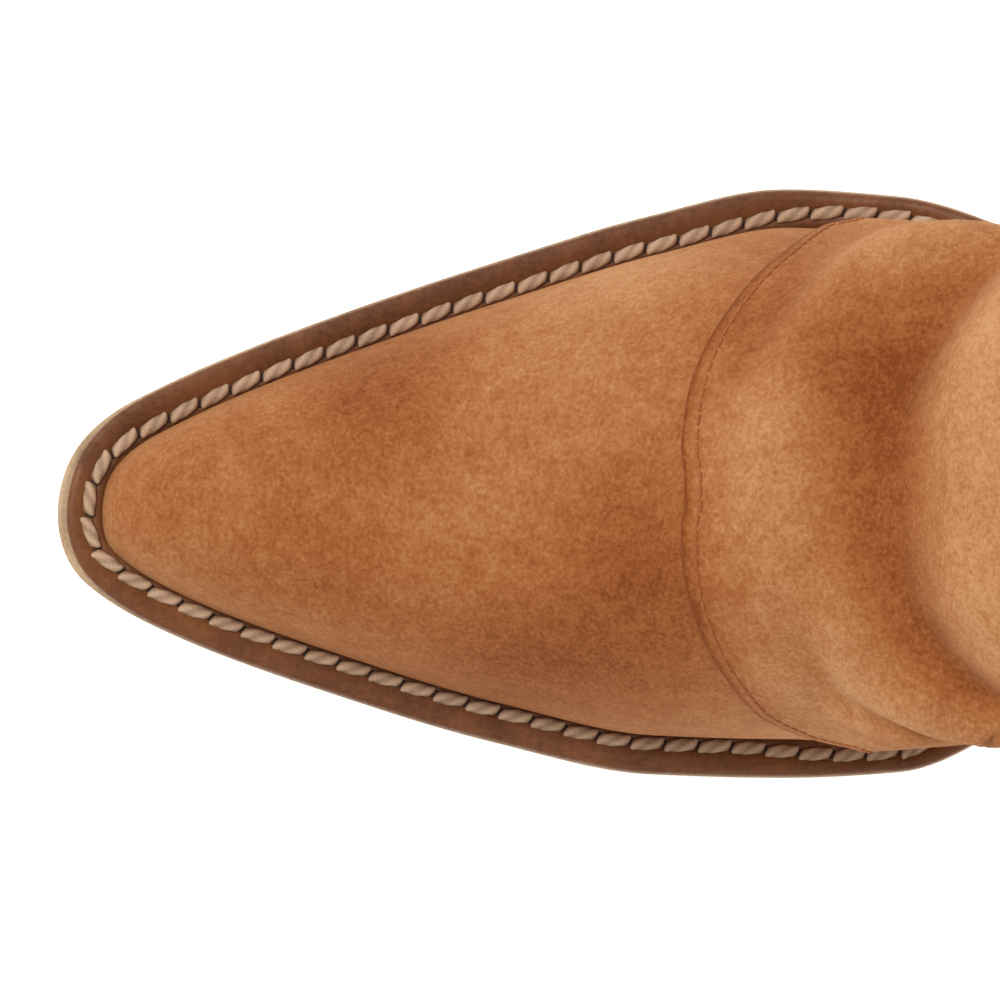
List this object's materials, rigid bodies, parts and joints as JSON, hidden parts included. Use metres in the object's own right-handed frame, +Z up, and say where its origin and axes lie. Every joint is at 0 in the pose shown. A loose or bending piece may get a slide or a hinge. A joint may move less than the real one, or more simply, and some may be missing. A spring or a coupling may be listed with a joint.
{
  "type": "western boot",
  "caption": "Slouchy suede western boot for the right foot: almond toe, stitched welt, leather sole, stacked leather heel, mid-calf shaft with pull straps.",
  "frame": {"origin": "on the floor, in the middle of the boot's footprint box", "axes": "+Z up, toe towards -Y and heel towards +Y, inner (big toe) side of the foot towards +X"},
  "size_m": [0.1252, 0.292, 0.3095],
  "materials": {
    "suede": "brushed suede, short nap",
    "suede_edge": "brushed suede, folded edge",
    "lining_leather": "smooth vegetable-tanned lining",
    "stiffener_board": "pressed fibre board",
    "suede_thread": "waxed thread",
    "welt_thread": "waxed thread",
    "welt_leather": "smooth, waxed",
    "sole_leather": "smooth, matte",
    "stacked_leather": "burnished edge",
    "cork": "granular, matte",
    "steel": "bright",
    "brass_nail": "worn",
    "heel_rubber": "matte",
    "heel_foam": "latex foam, matte"
  },
  "bodies": {
    "boot": {"vamp": "suede", "shaft_front_panel": "suede", "shaft_back_panel": "suede", "heel_counter_cover": "suede", "pull_strap_medial_outer_leg": "suede", "pull_strap_medial_inner_leg": "suede", "pull_strap_lateral_outer_leg": "suede", "pull_strap_lateral_inner_leg": "suede", "topline_binding": "suede_edge", "side_piping_medial": "suede_edge", "side_piping_lateral": "suede_edge", "vamp_lining": "lining_leather", "shaft_lining_front": "lining_leather", "shaft_lining_back": "lining_leather", "sock_liner": "lining_leather", "toe_puff": "stiffener_board", "heel_counter_stiffener": "stiffener_board", "vamp_seam_thread": "suede_thread", "welt_stitching": "welt_thread", "welt": "welt_leather", "heel_rand": "welt_leather", "outsole": "sole_leather", "insole_board": "stacked_leather", "heel_wedge_lift": "stacked_leather", "heel_lift_1": "stacked_leather", "heel_lift_2": "stacked_leather", "heel_lift_3": "stacked_leather", "heel_lift_4": "stacked_leather", "heel_lift_5": "stacked_leather", "cork_filler": "cork", "shank": "steel", "heel_seat_nail_1": "steel", "heel_seat_nail_2": "steel", "heel_seat_nail_3": "steel", "heel_seat_nail_4": "steel", "heel_seat_nail_5": "steel", "heel_cap_nail_1": "brass_nail", "heel_cap_nail_2": "brass_nail", "heel_cap_nail_3": "brass_nail", "heel_cap_nail_4": "brass_nail", "heel_cap_nail_5": "brass_nail", "heel_cap": "heel_rubber", "heel_pad": "heel_foam"},
    "pull_loop_medial": {"pull_strap_medial_loop": "suede"},
    "pull_loop_lateral": {"pull_strap_lateral_loop": "suede"}
  },
  "joints": [
    {"name": "medial_pull_loop_hinge", "type": "hinge", "parent": "boot", "child": "pull_loop_medial", "pos_m": [0.05449, 0.07, 0.28748], "axis": [0, 1, 0], "range_deg": [-45, 45], "stiffness_Nm_per_rad": 0.015},
    {"name": "lateral_pull_loop_hinge", "type": "hinge", "parent": "boot", "child": "pull_loop_lateral", "pos_m": [-0.05449, 0.07, 0.28748], "axis": [0, 1, 0], "range_deg": [-45, 45], "stiffness_Nm_per_rad": 0.015}
  ]
}
